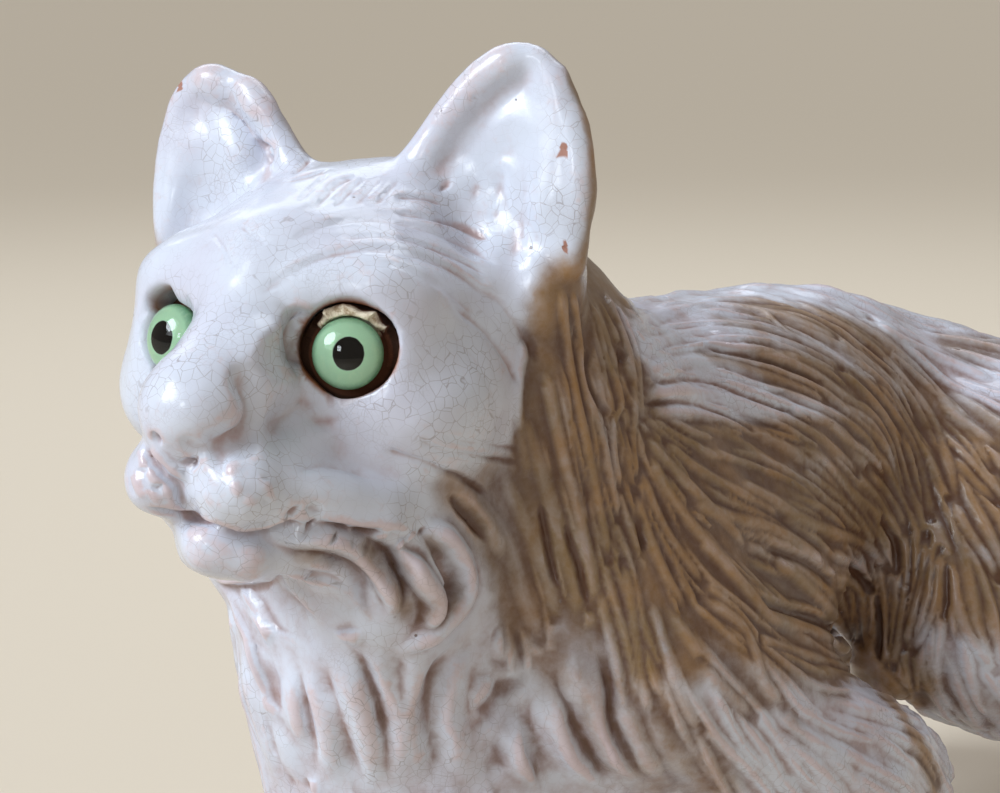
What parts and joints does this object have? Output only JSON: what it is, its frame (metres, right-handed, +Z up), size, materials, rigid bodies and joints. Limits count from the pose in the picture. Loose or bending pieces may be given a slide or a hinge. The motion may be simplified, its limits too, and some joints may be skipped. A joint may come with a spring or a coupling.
{
  "type": "terracotta cat figure",
  "caption": "Life-size prowling long-haired cat in crackled tin-glazed terracotta with glass eyes set in plaster, standing on its four paws.",
  "frame": {"origin": "on the ground under the middle of the figure's box", "axes": "+Z up; the cat walks towards -Y and its left side is +X"},
  "size_m": [0.1946, 0.5396, 0.2996],
  "materials": {
    "tin_glaze": "glossy crackled tin glaze, lavender white with brown washes over pink-orange terracotta",
    "eye_glass": "glossy opaline green glass with a black pupil under a clear dome",
    "plaster": "matt cream plaster with a broken edge"
  },
  "bodies": {
    "root": {"cat_body": "tin_glaze", "eye_left": "eye_glass", "eye_right": "eye_glass", "plaster_left": "plaster", "plaster_right": "plaster"}
  },
  "joints": []
}
